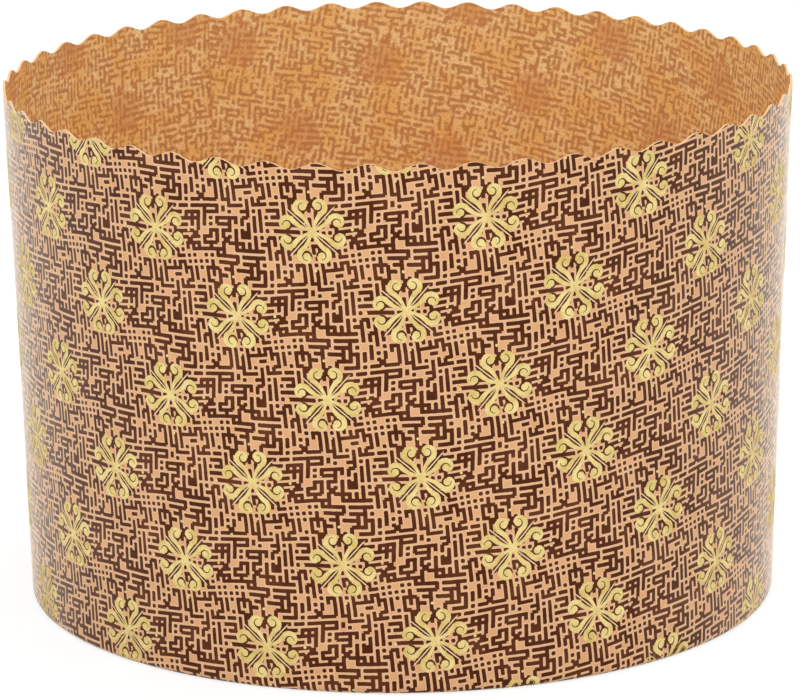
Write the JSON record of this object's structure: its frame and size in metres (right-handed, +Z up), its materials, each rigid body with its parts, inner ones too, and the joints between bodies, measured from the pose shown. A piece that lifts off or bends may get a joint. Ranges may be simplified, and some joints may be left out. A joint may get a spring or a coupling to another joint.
{
  "type": "paper baking cup",
  "caption": "Round free-standing paper baking cup with a smooth, slightly tapered wall, a scalloped rim and a glued board base, open at the top.",
  "frame": {"origin": "middle of the underside, in the plane that the cup stands on", "axes": "+Z up through the open rim, +X to the right and +Y away from the viewer as the picture sees the cup"},
  "size_m": [0.14, 0.14, 0.0931],
  "materials": {
    "printed_paper": "tan kraft paper with a dark brown printed pattern and gilt ornaments, slightly glossy outside, plain and matt inside",
    "kraft_board": "plain matt kraft board"
  },
  "bodies": {
    "root": {"side_wall": "printed_paper", "base_board": "kraft_board"}
  },
  "joints": []
}
